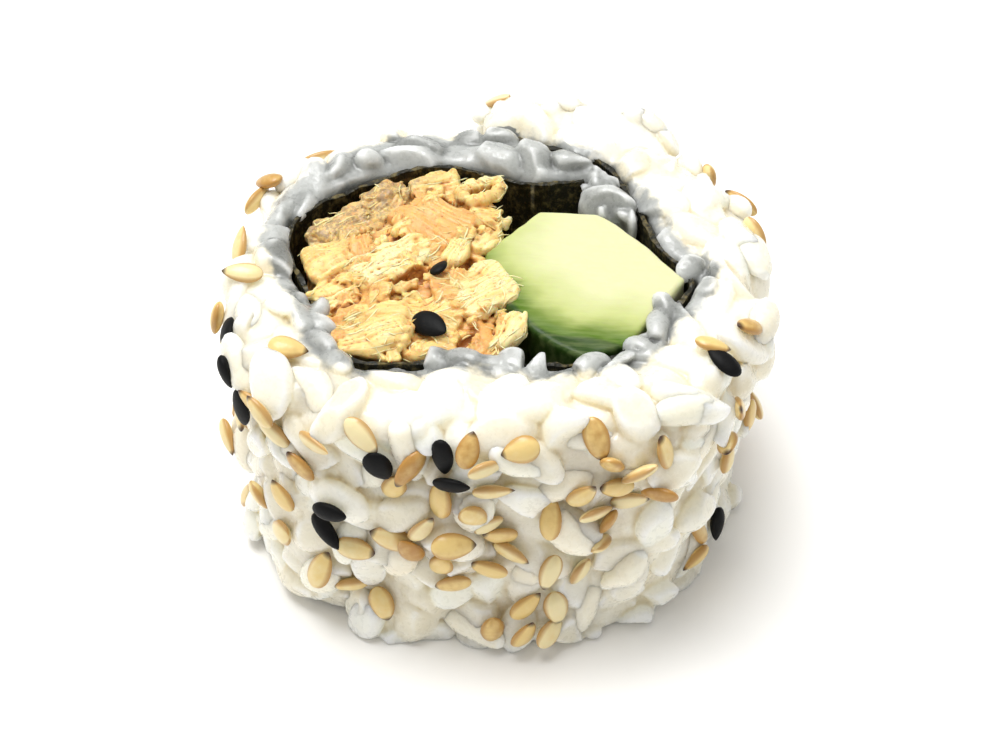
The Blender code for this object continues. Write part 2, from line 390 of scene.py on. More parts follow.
def rice_material(name, dull, bright, depth):
    n = Nodes(name)
    patches = n.noise(1.3 * MM, 3)
    cut = n.maths("ADD", n.attribute("from_cut"), n.maths("MULTIPLY_ADD", patches, -2.4, 1.2))
    cut = n.ease(cut, -0.5, 0.5, 1.0, 0.0)
    tone = n.maths("MULTIPLY_ADD", n.attribute("tone"), 0.6, n.maths("MULTIPLY", patches, 0.4))
    body = n.blend(n.ease(tone, 0.1, 0.8), dull, bright)
    # Painted shade: the body colour is darkened in the hollows between the grains
    body = n.blend(n.ease(n.attribute("painted_shading"), 0.02, 0.12), body, (0.80, 0.735, 0.56))
    body = n.blend(n.ease(n.attribute("painted_shading"), 0.11, 0.24), body, (0.66, 0.57, 0.38))
    # Painted highlight: the body colour is lightened on the bumps
    body = n.blend(n.ease(n.attribute("painted_shading"), -0.14, -0.03, 0.7, 0.0), body, (0.97, 0.955, 0.89))
    grey = n.blend(n.ease(tone, 0.2, 0.75), (0.23, 0.237, 0.223), (0.44, 0.45, 0.43))
    # Painted shade: the grey cut rice is darkened in its hollows
    grey = n.blend(n.ease(n.attribute("painted_shading"), 0.0, 0.14), grey, (0.19, 0.195, 0.182))
    # Painted highlight: the grey cut rice is lightened on its bumps
    grey = n.blend(n.ease(n.attribute("painted_shading"), -0.14, -0.03, 0.7, 0.0), grey, (0.74, 0.75, 0.73))
    colour = n.blend(cut, body, grey)
    wet = n.noise(0.45 * MM, 3)
    return n.finish(
        Base_Color=colour,
        Roughness=n.ease(wet, 0.38, 0.6, 0.2, 0.6),
        Subsurface_Weight=1.0,
        Subsurface_Radius=(1.0, 0.97, 0.92),
        Subsurface_Scale=depth,
        Coat_Weight=0.2,
        Coat_Roughness=0.06,
        Normal=n.bump(wet, 0.12 * MM, 0.5),
    )


def salmon_material():
    n = Nodes("salmon")
    fine = n.noise(0.45 * MM, 3)
    patches = n.noise(2.6 * MM, 2)
    fibres = n.streaks("along", "across", 1.8, 0.24)
    warmth = n.maths("ADD", n.attribute("warmth"), n.maths("MULTIPLY_ADD", patches, 1.2, -0.6))
    warmth = n.maths("ADD", warmth, n.maths("MULTIPLY_ADD", fibres, 1.1, -0.55))
    colour = n.blend(n.ease(warmth, -0.2, 0.35), (0.86, 0.74, 0.38), (0.81, 0.59, 0.22))
    colour = n.blend(n.ease(warmth, 0.35, 0.9), colour, (0.76, 0.41, 0.135))
    # Painted shade: the colour turns orange, then dark brown, deeper in the hollows between flakes
    colour = n.blend(n.ease(n.attribute("painted_shading"), 0.0, 0.09), colour, (0.70, 0.34, 0.08))
    colour = n.blend(n.ease(n.attribute("painted_shading"), 0.05, 0.13), colour, (0.30, 0.10, 0.015))
    specks = n.ease(n.noise(0.32 * MM, 1), 0.62, 0.70)
    colour = n.blend(n.maths("MULTIPLY", specks, 0.5), colour, (0.50, 0.21, 0.04))
    mottle = n.ease(n.noise(0.5 * MM, 3, roughness=0.7), 0.4, 0.62, 0.25, 0.95)
    colour = n.blend(n.maths("MULTIPLY", n.attribute("brown"), mottle), colour, (0.36, 0.25, 0.13))
    height = n.maths("ADD", fibres, n.maths("MULTIPLY", fine, 0.7))
    return n.finish(
        Base_Color=colour,
        Roughness=n.ease(fine, 0.3, 0.7, 0.32, 0.6),
        Subsurface_Weight=0.7,
        Subsurface_Radius=(1.0, 0.55, 0.22),
        Subsurface_Scale=0.6 * MM,
        Normal=n.bump(height, 0.10 * MM, 0.7),
    )


def shred_material():
    n = Nodes("salmon_shreds")
    fine = n.noise(0.4 * MM, 2)
    warmth = n.maths("ADD", n.attribute("warmth"), n.maths("MULTIPLY_ADD", fine, 0.5, -0.25))
    colour = n.blend(n.ease(warmth, -0.2, 0.4), (0.88, 0.77, 0.43), (0.84, 0.65, 0.29))
    colour = n.blend(n.ease(warmth, 0.4, 1.0), colour, (0.80, 0.48, 0.17))
    return n.finish(
        Base_Color=colour,
        Roughness=n.ease(fine, 0.3, 0.7, 0.35, 0.6),
        Subsurface_Weight=0.4,
        Subsurface_Radius=(1.0, 0.5, 0.2),
        Subsurface_Scale=0.3 * MM,
        Normal=n.bump(fine, 0.04 * MM, 0.5),
    )


def cucumber_material():
    n = Nodes("cucumber")
    uneven = n.noise(2.2 * MM, 2)
    depth = n.maths("ADD", n.attribute("under_skin"), n.maths("MULTIPLY_ADD", uneven, 1.6, -0.8))
    flesh = n.blend(n.ease(depth, 1.4, 7.5), (0.44, 0.49, 0.155), (0.66, 0.66, 0.39))
    near = n.blend(n.ease(depth, 0.6, 3.6), (0.085, 0.16, 0.012), flesh)
    skin = n.blend(n.noise(1.4 * MM, 3), (0.012, 0.035, 0.004), (0.035, 0.08, 0.012))
    colour = n.blend(n.ease(n.attribute("under_skin"), 0.3, 0.75), skin, near)
    strokes = n.noise(0.35 * MM, 2, stretch=(6, 1, 3))
    colour = n.blend(n.ease(strokes, 0.35, 0.75, 0.0, 0.12), colour, (0.62, 0.68, 0.28))
    rough = n.bump(strokes, 0.08 * MM, 0.35)
    return n.finish(
        Base_Color=colour,
        Roughness=n.ease(strokes, 0.3, 0.7, 0.3, 0.5),
        Subsurface_Weight=0.55,
        Subsurface_Radius=(0.7, 1.0, 0.4),
        Subsurface_Scale=0.9 * MM,
        Specular_IOR_Level=0.2,
        Normal=rough,
    )


def nori_material():
    n = Nodes("nori")
    mottle = n.ease(n.noise(0.8 * MM, 4, roughness=0.7), 0.45, 0.7)
    colour = n.blend(mottle, (0.010, 0.010, 0.005), (0.145, 0.115, 0.045))
    rough = n.bump(n.noise(0.4 * MM, 3), 0.15 * MM, 0.8)
    return n.finish(
        Base_Color=colour,
        Roughness=n.ease(n.noise(0.9 * MM, 2), 0.35, 0.65, 0.3, 0.6),
        Specular_IOR_Level=0.3,
        Normal=rough,
    )


def sesame_material(name, pale, body, brown, tip, roughness, specular):
    n = Nodes(name)
    mottle = n.noise(0.7 * MM, 3)
    tone = n.maths("ADD", n.attribute("tone"), n.maths("MULTIPLY_ADD", mottle, 0.5, -0.25))
    colour = n.blend(n.ease(tone, 0.0, 0.5), pale, body)
    colour = n.blend(n.ease(tone, 0.5, 1.0), colour, brown)
    colour = n.blend(n.maths("MULTIPLY", n.attribute("seam"), 0.8), colour, brown)
    colour = n.blend(n.attribute("tip"), colour, tip)
    return n.finish(
        Base_Color=colour,
        Roughness=roughness,
        Specular_IOR_Level=specular,
        Subsurface_Weight=0.15,
        Subsurface_Radius=(0.8, 0.5, 0.25),
        Subsurface_Scale=0.3 * MM,
        Normal=n.bump(mottle, 0.1 * MM, 0.6),
    )


# ---------------------------------------------------------------- rice


def smoothstep(value, low, high):
    share = np.clip((value - low) / (high - low), 0, 1)
    return share * share * (3 - 2 * share)


def sample(field, axes, points):
    """A field's value at any points between those of its grid."""
    low, share = [], []
    for axis, values in zip(axes, points.T):
        place = np.interp(values, axis, np.arange(len(axis)))
        low.append(np.minimum(place.astype(int), len(axis) - 2))
        share.append(place - low[-1])
    total = np.zeros(len(points))
    for corner in np.ndindex(2, 2, 2):
        weight = np.prod([s if c else 1 - s for c, s in zip(corner, share)], axis=0)
        total += field[tuple(i + c for i, c in zip(low, corner))] * weight
    return total


def tube_faces(rings, around):
    """Triangles of a closed tube: a first point, rings of points, and a last point."""
    faces = []
    last = 1 + rings * around
    for j in range(around):
        k = (j + 1) % around
        faces.append((0, 1 + k, 1 + j))
        faces.append((last, last - around + j, last - around + k))
        for i in range(rings - 1):
            a = 1 + i * around
            faces.append((a + j, a + k, a + around + k))
            faces.append((a + j, a + around + k, a + around + j))
    return np.array(faces)


def nearest_cell(axes, points):
    """The grid point nearest to each point."""
    place = [np.interp(values, axis, np.arange(len(axis))) for axis, values in zip(axes, points.T)]
    return tuple(np.round(p).astype(int) for p in place)


def window(axes, place, reach):
    """The part of a grid that lies within reach of a place, and the points in it."""
    part = tuple(slice(*np.searchsorted(axis, (p - reach, p + reach))) for axis, p in zip(axes, place))
    lines = [axis[inside] for axis, inside in zip(axes, part)]
    return part, np.stack(np.meshgrid(*lines, indexing="ij"), -1)


def nori_distance(axes, level=12.0):
    """The distance to the sheet of nori at each place of the plan."""
    tree = cad_tree("nori")
    plan = [[tree.find_nearest((x, y, level))[3] for y in axes[1]] for x in axes[0]]
    return np.array(plan, np.float32)


def unit(vectors):
    return vectors / (np.linalg.norm(vectors, axis=-1, keepdims=True) + 1e-9)


def rice_grains(shell, axes, rng):
    """Grains packed in the band near its surface, most of them lying along it."""
    gradient = np.stack(np.gradient(shell, *axes), -1)
    low = np.array([axis[0] for axis in axes])
    high = np.array([axis[-1] for axis in axes])
    step = axes[0][1] - axes[0][0]
    taken = np.empty((0, 3))
    grains = []
    for place in rng.uniform(low, high, (90000, 3)):
        cell = tuple(np.round((place - low) / step).astype(int))
        if not -3.4 < shell[cell] < -0.6:
            continue
        if len(taken) and ((taken - place) ** 2).sum(1).min() < GRAIN_SPACING**2:
            continue
        taken = np.vstack([taken, place])
        out = unit(gradient[cell])
        along = rng.normal(size=3)
        along = unit(along - out * (along @ out) * rng.uniform(0.75, 1.0))
        across = unit(np.cross(out + 0.25 * rng.normal(size=3), along))
        width = rng.uniform(*GRAIN_WIDTH)
        length = rng.uniform(*GRAIN_LENGTH)
        radii = np.array([length, width, width * rng.uniform(0.75, 0.95)]) / 2
        turn = np.stack([along, across, np.cross(along, across)])
        flats = rng.normal(size=(5, 3))
        flats[0] = turn @ (out + 0.3 * rng.normal(size=3))
        flats[1] = (rng.choice((-1, 1)), *rng.normal(0, 0.5, 2))
        cuts = rng.uniform(0.6, 1.0, 5)
        cuts[0] = rng.uniform(0.5, 0.8)
        cuts[1] = rng.uniform(0.45, 1.1)
        grains.append((place, turn, radii, unit(flats), cuts))
    return grains


def grain_distance(points, grain):
    """The distance from points to a grain: a bent ellipsoid with pressed flats."""
    place, turn, radii, flats, cuts = grain
    local = (points - place) @ turn.T
    local[..., 1] += 0.035 * (local[..., 0] ** 2 - radii[0] ** 2 / 3)
    scaled = local / radii
    reach = np.linalg.norm(scaled, axis=-1)
    steep = np.linalg.norm(scaled / radii, axis=-1)
    distance = reach * (reach - 1) / (steep + 1e-6)
    for normal, cut in zip(flats, cuts):
        support = np.linalg.norm(normal * radii)
        distance = smooth_max(distance, local @ normal - support * cut, 0.09)
    return distance


def thin_out(piece, triangles):
    """Fewer triangles where the surface is plain, so that the piece has about that many."""
    now = sum(len(face.vertices) - 2 for face in piece.data.polygons)
    if now <= triangles:
        return
    fewer = piece.modifiers.new("fewer", "DECIMATE")
    fewer.ratio = triangles / now
    bpy.context.view_layer.update()
    graph = bpy.context.evaluated_depsgraph_get()
    lighter = bpy.data.meshes.new_from_object(piece.evaluated_get(graph))
    piece.modifiers.remove(fewer)
    heavy, piece.data = piece.data, lighter
    bpy.data.meshes.remove(heavy)
    piece.data.shade_smooth()


def finish_piece(piece, slot, *nodes):
    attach(piece, "root")
    if nodes:
        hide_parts(*nodes)


def cut_rice(points, from_nori):
    """How far each point is outside the strip of grey cut rice along the nori."""
    angle = np.degrees(np.arctan2(points[:, 1], points[:, 0])) % 360
    width = np.interp(angle, *zip(*CUT_WIDTH))
    under_lap = np.interp(angle, *zip(*LAP))
    from_axis = np.hypot(points[:, 0], points[:, 1])
    width[from_axis < under_lap] = 4.0
    width[(angle > 82) & (angle < 112) & (from_axis > 14.9)] = -2.0
    from_end = np.minimum(points[:, 2], 24.0 - points[:, 2])
    return from_nori - width + np.maximum(from_end - 1.5, 0)


def cut_grains(rng):
    """Grains cut by the knife, which lean over the edge of the nori."""
    nori = cad_tree("nori")
    spots = []
    for angle in np.arange(*CUT_FRONT, 6.6):
        turn = math.radians(angle + rng.normal(0, 1.6))
        values = rng.uniform(size=3)
        out = np.array([math.cos(turn), math.sin(turn), 0.0])
        hit = nori.ray_cast(Vector(out * 20 + (0, 0, 23.4)), Vector(-out))[0]
        if hit is not None and np.array(hit) @ out > 5 and values[0] > 0.1:
            lies = angle + 90 + (12 if values[1] < 0.7 else 75) * rng.normal()
            spots.append((np.array(hit) + out * (0.65 * values[2] - 0.05), lies, 1.0))
    for x, y, lies in CUT_CHIPS:
        spots.append((np.array((x, y, 23.2)), lies, 0.7))
    grains = []
    for place, lies, size in spots:
        turn = math.radians(lies)
        along = unit(np.array((math.cos(turn), math.sin(turn), 0.0)) + 0.22 * rng.normal(size=3))
        across = unit(np.cross((0, 0, 1.0) + 0.4 * rng.normal(size=3), along))
        length, width, thick = rng.uniform(2.8, 5.0), rng.uniform(1.6, 2.9), rng.uniform(1.4, 2.2)
        radii = np.array((length, width, thick)) * size / 2
        grain_turn = np.stack([along, across, np.cross(along, across)])
        place = place + (0, 0, rng.uniform(-0.15, 0.45) * size)
        grains.append((place, grain_turn, radii, unit(rng.normal(size=(5, 3))), rng.uniform(0.5, 0.95, 5)))
    return grains


def make_rice():
    low, high = (np.array(corner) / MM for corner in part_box("rice"))
    coarse = grid_axes(low - 1.6, high + 1.6, 0.75)
    fine = grid_axes(low - 1.2, high + 1.2, RICE_STEP)
    shell = signed_distance("rice", coarse)
    envelope = resample(shell, coarse, fine).astype(np.float32)
    rng = np.random.default_rng(RICE_SEED)
    grains = rice_grains(shell, coarse, rng)

    nori = nori_distance(fine)[:, :, None]
    level = fine[2][None, None, :].astype(np.float32)
    near_end = np.minimum(level, 24.0 - level)
    away = smoothstep(nori, 0.3, 2.2)
    sunk = 0.75 + 0.65 * grid_noise(fine, 5.0, 6)
    deep = 0.1 + sunk * away * (0.5 + 0.5 * smoothstep(near_end, 0.2, 2.6))
    field = envelope + deep
    nearest = np.full(field.shape, 9.0, np.float32)
    owner = np.zeros(field.shape, np.int16)
    blend = 0.11 + 0.07 * grid_noise(fine, 6.0, 5) + 0.14 * smoothstep(-nori, -3.0, -0.8)
    blend = blend.astype(np.float32)
    for index, grain in enumerate(grains):
        part, points = window(fine, grain[0], grain[2][0] + 0.6)
        distance = grain_distance(points, grain).astype(np.float32)
        field[part] = smooth_min(field[part], distance, blend[part])
        closer = distance < nearest[part]
        owner[part] = np.where(closer, index, owner[part])
        nearest[part] = np.minimum(nearest[part], distance)
    field += 0.035 * grid_noise(fine, 0.7, 1) + 0.08 * grid_noise(fine, 1.6, 2)
    free = np.maximum(away, 0.8 * smoothstep(level, 22.6, 23.4))
    field = smooth_max(field, envelope - (0.05 + 0.75 * free), 0.15 + 0.2 * free)
    over_nori = smoothstep(level, 23.2, 23.7) * (0.75 + 0.6 * grid_noise(fine, 2.0, 3))
    field = smooth_max(field, 0.12 - nori - over_nori, 0.1)
    for grain in cut_grains(rng):
        part, points = window(fine, grain[0], grain[2][0] + 0.6)
        distance = grain_distance(points, grain).astype(np.float32)
        distance = np.maximum(distance, 23.0 - points[..., 2].astype(np.float32))
        field[part] = smooth_min(field[part], distance, 0.15)
    field = smooth_max(field, 0.02 - level, 0.15)
    points, quads = biggest_part(*skin_of(field, fine))
    tones = rng.uniform(0, 1, len(grains))
    material = rice_material("rice_heap", (0.77, 0.71, 0.55), (0.96, 0.92, 0.79), 2.8 * MM)
    rice = new_mesh("rice_grains", points, quads, material)
    add_values(rice, "tone", tones[owner[nearest_cell(fine, points)]])
    flat_nori = np.repeat(nori, 2, 2)
    from_nori = sample(flat_nori, [fine[0], fine[1], np.array([0.0, 1.0])], points * (1, 1, 0))
    add_values(rice, "from_cut", cut_rice(points, from_nori))
    # Painted shade and highlight: the rice material darkens the hollows and lightens the bumps by these values
    painted_shading = hollows(field, fine, points)
    add_values(rice, "painted_shading", painted_shading)
    thin_out(rice, RICE_TRIANGLES)
    finish_piece(rice, "rice", "rice")
    faces = np.concatenate([quads[:, :3], quads[:, [0, 2, 3]]])
    rice_tree = BVHTree.FromPolygons(points.tolist(), faces.tolist())
    loose_points, loose_faces = make_loose_grains(rice_tree, rng)
    faces = np.concatenate([faces, loose_faces + len(points)])
    return BVHTree.FromPolygons(np.concatenate([points, loose_points]).tolist(), faces.tolist())


def grain_form(rings=11, around=14):
    """A grain one unit long, wide and thick, as the points of a closed tube."""
    stage = np.cos(np.linspace(math.pi, 0, rings + 2)[1:-1])
    turn = np.linspace(0, 2 * math.pi, around, endpoint=False)
    half = (1 - np.abs(stage) ** 2.3) ** 0.5 / 2
    x = np.repeat(stage[:, None] / 2, around, 1)
    points = np.stack([x, half[:, None] * np.cos(turn), half[:, None] * np.sin(turn)], -1).reshape(-1, 3)
    return np.vstack([(-0.5, 0, 0), points, (0.5, 0, 0)])


def shaped_grain(form, place, along, out, size, rng):
    """A grain's points where it lies: slightly bent and dented, its length along one way."""
    out = unit(out)
    along = unit(along - out * (along @ out))
    turn = np.stack([along, np.cross(out, along), out])
    points = form * size
    points[:, 1] += 0.05 * rng.choice((-1, 1)) * points[:, 0] ** 2
    for _ in range(3):
        way = unit(rng.normal(size=3))
        reach = points @ way
        cut = reach.max() * rng.uniform(0.7, 1.0)
        points -= (np.maximum(reach - cut, 0) * 0.75)[:, None] * way
    points = points @ turn + place
    return points + (0, 0, max(0.0, 0.05 - points[:, 2].min()))


def make_loose_grains(rice_tree, rng):
    """Single grains stuck to the side and the rim."""
    form, faces = grain_form(), tube_faces(11, 14)
    grains, tones, taken = [], [], []
    for _ in range(4 * LOOSE_GRAINS):
        start, towards = ray_to(rng.uniform(0, 360), rng.uniform(1.6, 23.9))
        hit, out = rice_tree.ray_cast(Vector(start), Vector(towards))[:2]
        values = rng.uniform(size=3)
        along = rng.normal(size=3)
        if hit is None or len(grains) == LOOSE_GRAINS or hit.z < 1.6 or hit.xy.length < 18.5:
            continue
        if taken and np.linalg.norm(np.array(taken) - hit, axis=1).min() < 4.2:
            continue
        taken.append(hit)
        size = np.array((4.2 + 1.8 * values[0], 2.5 + 0.8 * values[1], 1.9 + 0.5 * values[2]))
        out = unit(np.array(out) - 1.2 * unit(np.array(towards)))
        grains.append(shaped_grain(form, np.array(hit) - out * size[2] * 0.32, along, out, size, rng))
        tones.append(rng.uniform(0.3, 1.0))
    count, size = len(grains), len(form)
    points = np.concatenate(grains)
    all_faces = np.concatenate([faces + i * size for i in range(count)])
    material = rice_material("loose_rice", (0.82, 0.75, 0.59), (0.94, 0.885, 0.74), 0.9 * MM)
    loose = new_mesh("loose_rice_grains", points, all_faces, material)
    add_values(loose, "tone", np.repeat(tones, size))
    add_values(loose, "from_cut", np.full(len(points), 3.0))
    # Painted highlight: the ends of each loose grain are made lighter
    add_values(loose, "painted_shading", np.tile(np.where(np.abs(form[:, 0]) > 0.4, -0.12, 0.0), count))
    finish_piece(loose, "rice", "rice")
    return points, all_faces


# ---------------------------------------------------------------- salmon


def salmon_levels(low, high):
    """Grid heights, close together at both cut ends and wide apart between."""
    bottom = np.arange(low, low + 2.2, SALMON_STEP * 1.3)
    top = np.arange(high - 5.4, high, SALMON_STEP)
    middle = np.arange(bottom[-1] + 0.8, top[0] - 0.3, 0.8)
    return np.concatenate([bottom, middle, top])


def make_flake(place, degrees, tilt, size, warmth, spread, rng):
    """A flake of cooked fish: its place, turn and sizes, and how its fibres differ."""
    along = unit(np.array([math.cos(math.radians(degrees)), math.sin(math.radians(degrees)), tilt[0]]))
    across = unit(np.cross((tilt[1], -tilt[1], 1.0), along))
    return {
        "place": np.array(place),
        "turn": np.stack([along, across, np.cross(along, across)]),
        "size": np.array(size) / 2,
        "warmth": warmth,
        "spread": spread,
        "fibres": rng.uniform(0, 1, (2, 64)),
        "sway": rng.uniform(0, 6.28, 3),
    }


def fibre_place(u, v, flake):
    """Which fibre of a flake a point is on: they are uneven, wavy and may spread out."""
    sway = flake["sway"]
    fibre = v / (1 + flake["spread"] * np.maximum(u, -8)) / FIBRE
    return fibre + 0.7 * np.sin(1.2 * fibre + sway[0]) + 0.35 * np.sin(0.9 * u + sway[1] + 0.5 * fibre)


def flake_distance(points, flake):
    """The distance to a flake: fibres side by side with grooves between, frayed where they end."""
    local = (points - flake["place"]) @ flake["turn"].T
    u, v, w = local[..., 0], local[..., 1], local[..., 2]
    sway = flake["sway"]
    w = w + 0.16 * np.sin(u * 1.0 + sway[1]) + 0.07 * v * v
    fibre = fibre_place(u, v, flake)
    number = np.floor(fibre).astype(int) % 64
    depth, ends = flake["fibres"][:, number]
    groove = 1 - np.abs(np.sin(math.pi * fibre)) ** 0.6
    length, width, thick = flake["size"]
    relief = 0.10 * depth - (0.12 + 0.2 * depth) * groove
    reach_u = np.abs(u) - length + 0.5 * ends * min(1.0, length / 2)
    round_end = 1 - 0.4 * np.minimum(np.abs(u) / length, 1) ** 2.5
    reach_v = np.abs(v) - width * round_end - 0.2 * np.sin(u * 2.1 + sway[2])
    reach_w = np.abs(w) - thick - relief
    edge = thick * 0.75
    reach = np.stack([reach_u, reach_v, reach_w], -1) + edge
    return np.linalg.norm(np.maximum(reach, 0), axis=-1) + np.minimum(reach.max(-1), 0) - edge


def curl_distance(points, place, radius, thick):
    """The distance to a curl of flesh: an uneven ring that lies on the surface."""
    x, y, z = np.moveaxis(points - place, -1, 0)
    turn = np.arctan2(y, x)
    from_ring = np.hypot(x, y) - radius * (1 + 0.18 * np.sin(2 * turn + 1))
    ridges = 0.07 * np.sin(9 * turn + 3 * z)
    return np.hypot(from_ring, z - 0.25 * np.sin(turn + 2)) - thick - ridges


def salmon_flakes(tree, box, rng):
    """The main flakes, smaller ones between them and crumbs, on both cut faces."""
    low, high = box

    def height(x, y):
        hit = tree.ray_cast(Vector((x, y, 40.0)), Vector((0, 0, -1)))[0]
        return None if hit is None else hit.z

    flakes = []
    for x, y, rise, degrees, length, width, warmth, spread in MAIN_FLAKES:
        z = (height(x, y) or 23.8) + rise - 0.35
        tilt = rng.uniform(-0.16, 0.16, 2)
        flakes.append(make_flake((x, y, z), degrees, tilt, (length, width, 1.1), warmth, spread, rng))
    kinds = ((60, 1.6, 3.4, 0.9, 2.2, 0.8), (260, 0.4, 1.1, 0.35, 0.8, 0.5))
    for count, shortest, longest, narrowest, widest, thick in kinds:
        for _ in range(count * 2):
            x, y = rng.uniform(low[:2], high[:2])
            z = height(x, y)
            at_top = rng.uniform() < 0.65
            values = rng.uniform(size=8)
            if z is None:
                continue
            z = z - 0.55 + 0.6 * values[0] if at_top else 0.25 + 0.5 * values[0]
            length = shortest + (longest - shortest) * values[1]
            width = narrowest + (widest - narrowest) * values[2]
            tilt = (values[3:5] - 0.5) * 0.6
            degrees = 30 + 35 * math.sin(x * 0.5) + 35 * math.cos(y * 0.45) + 25 * rng.normal()
            warmth = 0.1 + 0.85 * values[5]
            flakes.append(make_flake((x, y, z), degrees, tilt, (length, width, thick), warmth, 0.0, rng))
    return flakes


def make_salmon():
    low, high = (np.array(corner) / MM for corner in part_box("salmon"))
    coarse = grid_axes(low - 2.4, high + 2.4, 0.7)
    plan = grid_axes(low - 1.6, high + 1.6, SALMON_STEP)
    fine = [plan[0], plan[1], salmon_levels(-0.3, high[2] + 1.4)]
    tree = cad_tree("salmon")
    envelope = resample(signed_distance("salmon", coarse), coarse, fine).astype(np.float32)
    rng = np.random.default_rng(SALMON_SEED)
    field = envelope + 0.5 + 0.3 * grid_noise(fine, 1.6, 31)
    nearest = field.copy()
    owner = np.full(field.shape, -1, np.int16)
    flakes = salmon_flakes(tree, (low, high), rng)
    warp = np.stack([0.45 * grid_noise(fine, 2.0, 36 + i) + 0.16 * grid_noise(fine, 0.8, 39 + i) for i in range(3)], -1)
    for index, flake in enumerate(flakes):
        part, points = window(fine, flake["place"], np.linalg.norm(flake["size"]) + 0.6)
        if not points.size:
            continue
        warped = points + warp[part] * (0.5 if index < len(MAIN_FLAKES) else 1.0)
        distance = flake_distance(warped, flake).astype(np.float32)
        closer = distance < nearest[part]
        owner[part] = np.where(closer, index, owner[part])
        nearest[part] = np.minimum(nearest[part], distance)
        field[part] = smooth_min(field[part], distance, 0.2)
    for x, y, rise, radius, thick in CURLS:
        hit = tree.ray_cast(Vector((x, y, 40.0)), Vector((0, 0, -1)))[0]
        place = np.array((x, y, hit.z + rise))
        part, points = window(fine, place, radius + thick + 0.8)
        pit = np.linalg.norm((points - place) / (1, 1, 1.6), axis=-1) - radius * 0.8
        field[part] = smooth_max(field[part], -pit, 0.2)
        field[part] = smooth_min(field[part], curl_distance(points, place, radius, thick), 0.1)
    deep = np.full(field.shape, 9.0, np.float32)
    for x, y, size, degrees in PITS:
        hit = tree.ray_cast(Vector((x, y, 40.0)), Vector((0, 0, -1)))[0]
        way = np.array((math.cos(math.radians(degrees)), math.sin(math.radians(degrees))))
        part, points = window(fine, np.array(hit), size * 2 + 0.4)
        local = points - np.array(hit)
        along, across = local[..., :2] @ way, local[..., :2] @ (-way[1], way[0])
        reach = np.sqrt((along / 1.6) ** 2 + (across / 0.6) ** 2 + (local[..., 2] / 1.1) ** 2)
        pit = ((reach - size) * 0.6).astype(np.float32)
        field[part] = smooth_max(field[part], -pit, 0.15)
        deep[part] = np.minimum(deep[part], pit)
    crumbly = np.where((owner >= 0) & (owner < len(MAIN_FLAKES)), 0.45, 1.0).astype(np.float32)
    field += crumbly * (0.07 * grid_noise(fine, 0.38, 32) + 0.10 * grid_noise(fine, 0.9, 33))
    veins = np.abs(grid_noise(fine, 1.3, 34) + 0.4 * grid_noise(fine, 0.6, 35))
    field += 0.2 * crumbly * (1 - np.minimum(veins / 0.16, 1))
    level = fine[2][None, None, :].astype(np.float32)
    proud = 0.3 + 1.7 * smoothstep(level, 22.8, 23.8)
    field = smooth_max(field, envelope - proud, 0.1)
    field = smooth_max(field, 0.02 - level, 0.1)
    points, quads = biggest_part(*skin_of(field, fine))
    salmon = new_mesh("salmon_flakes", points, quads, salmon_material())
    mine = owner[nearest_cell(fine, points)]
    turns = np.array([flake["turn"] for flake in flakes] + [np.eye(3)])
    places = np.array([flake["place"] for flake in flakes] + [np.zeros(3)])
    warmth = np.array([flake["warmth"] for flake in flakes] + [0.8])
    spread = np.array([flake["spread"] for flake in flakes] + [0.0])
    local = np.einsum("ij,ikj->ik", points - places[mine], turns[mine])
    along, across = local[:, 0], local[:, 1]
    across = across / (1 + spread[mine] * np.maximum(along, -8))
    add_values(salmon, "warmth", warmth[mine])
    add_values(salmon, "along", along + 5.3 * mine)
    add_values(salmon, "across", across + 3.1 * mine)
    # Painted shade: values for the material to darken the hollows, and the pits more
    painted_shading = hollows(field, fine, points)
    painted_shading = painted_shading + 0.11 * smoothstep(-deep[nearest_cell(fine, points)], -0.3, 0.05)
    add_values(salmon, "painted_shading", painted_shading)
    along_band = (points[:, 0] + 11.3) * 0.78 - (points[:, 1] - 3.8) * 0.63
    brown = smoothstep(-along_band, -3.0, -0.6) * smoothstep(points[:, 1], -1.0, 1.0)
    brown *= smoothstep(points[:, 1], 8.6, 7.2) * smoothstep(level.ravel()[-1] - points[:, 2], 4.0, 3.0)
    add_values(salmon, "brown", brown)
    thin_out(salmon, SALMON_TRIANGLES)
    finish_piece(salmon, "salmon", "salmon")
    skin = BVHTree.FromPolygons(points.tolist(), quads.tolist())
    make_shreds(skin, points, turns[mine][:, 0], warmth[mine], rng)
    return skin


def shred_points(skin, start, along, length, width, free, rng):
    """A fine fibre on the surface, or free from it: rings of points, flat and tapered."""
    rings, around = 5, 5
    steps = rings + 1
    place, heading = Vector(start), Vector(along).normalized()
    curl = rng.normal(0, 0.06)
    points = []
    for step in range(steps + 1):
        share = step / steps
        near, out = skin.find_nearest(place)[:2]
        if free:
            near, out = place, (out + Vector((0, 0, 1.5))).normalized()
        heading = (heading - out * heading.dot(out)).normalized()
        side = out.cross(heading)
        taper = math.sin(math.pi * (0.14 + 0.74 * share))
        for turn in np.arange(around) * (2 * math.pi / around) if 0 < step < steps else ():
            wide = side * (math.cos(turn) * taper * width / 2)
            thick = out * (math.sin(turn) * taper * width / 3)
            points.append(near + wide + thick)
        if step in (0, steps):
            points.append(near)
        heading = (heading + side * curl).normalized()
        place = near + heading * (length / steps)
    return points


